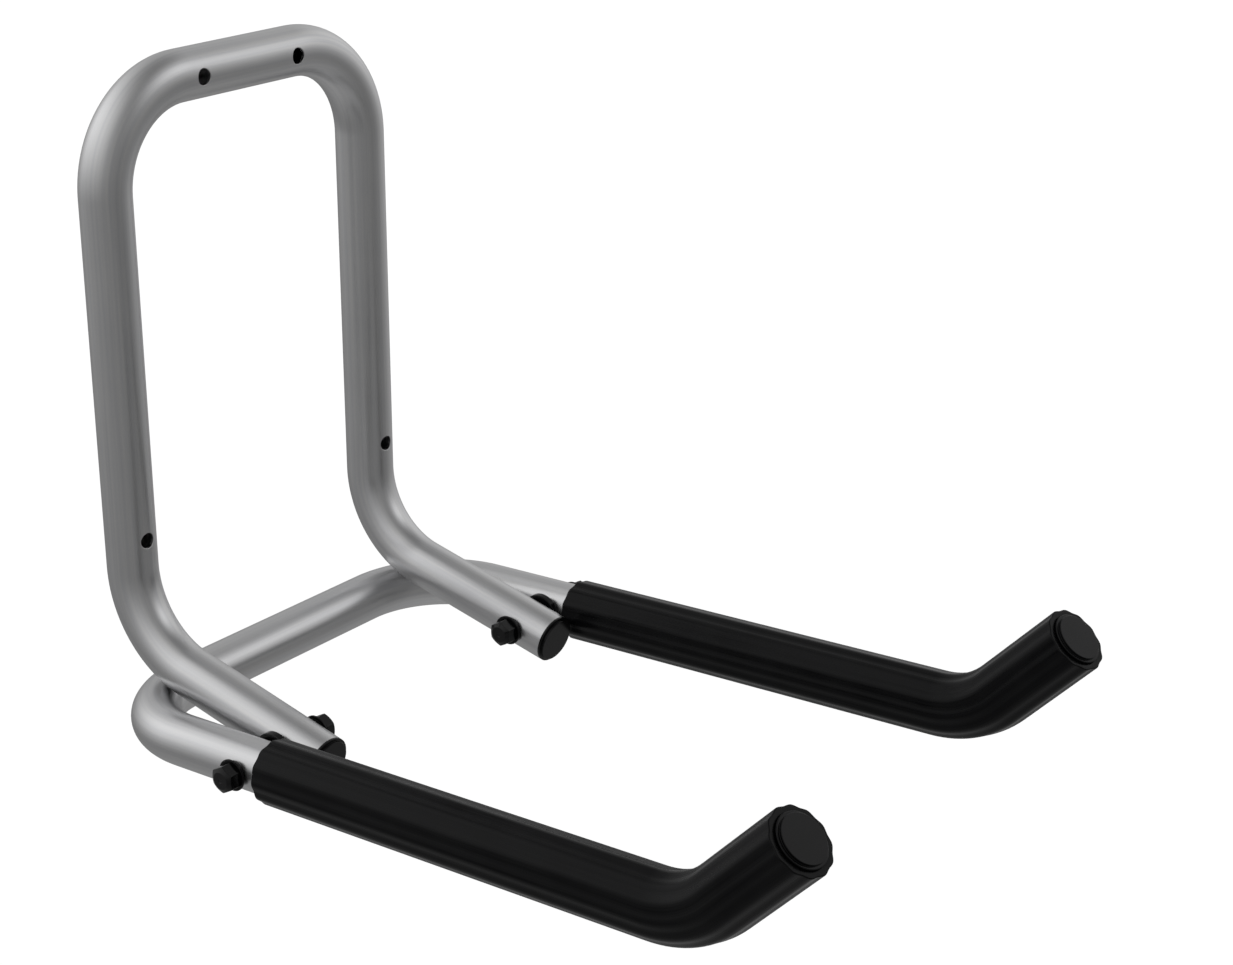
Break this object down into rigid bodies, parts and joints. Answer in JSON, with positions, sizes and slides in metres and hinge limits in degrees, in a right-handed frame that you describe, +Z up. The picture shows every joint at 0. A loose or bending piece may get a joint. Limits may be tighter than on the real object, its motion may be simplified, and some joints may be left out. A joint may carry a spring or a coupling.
{
  "type": "bicycle wall rack",
  "caption": "Folding wall rack of bent steel tube that carries bicycles by the top tube on two sleeved arms with upturned tips.",
  "frame": {"origin": "back of the top bar, on the wall, midway between its two screw holes", "axes": "+X along the wall to the right, +Y into the wall, +Z up; the arms stand out towards -Y"},
  "size_m": [0.347, 0.5482, 0.4152],
  "materials": {
    "silver_paint": "satin silver metallic paint",
    "black_rubber": "satin black soft rubber",
    "black_plastic": "satin black moulded plastic",
    "zinc_steel": "bright zinc plated steel"
  },
  "bodies": {
    "bracket": {"wall_bracket": "silver_paint", "left_leg_end_plug": "black_plastic", "right_leg_end_plug": "black_plastic", "left_inner_seat": "black_plastic", "right_inner_seat": "black_plastic", "left_pivot_spacer": "black_plastic", "right_pivot_spacer": "black_plastic", "left_pivot_bolt": "zinc_steel", "right_pivot_bolt": "zinc_steel", "left_lock_nut": "zinc_steel", "right_lock_nut": "zinc_steel", "left_outer_bolt_cap": "black_plastic", "right_outer_bolt_cap": "black_plastic", "left_inner_nut_cap": "black_plastic", "right_inner_nut_cap": "black_plastic"},
    "carrier": {"carrier_tube": "silver_paint", "left_arm_sleeve": "black_rubber", "right_arm_sleeve": "black_rubber", "left_arm_end_plug": "black_plastic", "right_arm_end_plug": "black_plastic", "left_outer_seat": "black_plastic", "right_outer_seat": "black_plastic"}
  },
  "joints": [
    {"name": "carrier_fold", "type": "hinge", "parent": "bracket", "child": "carrier", "pos_m": [0, -0.15273, -0.37625], "axis": [-1, 0, 0], "range_deg": [0, 98]}
  ]
}
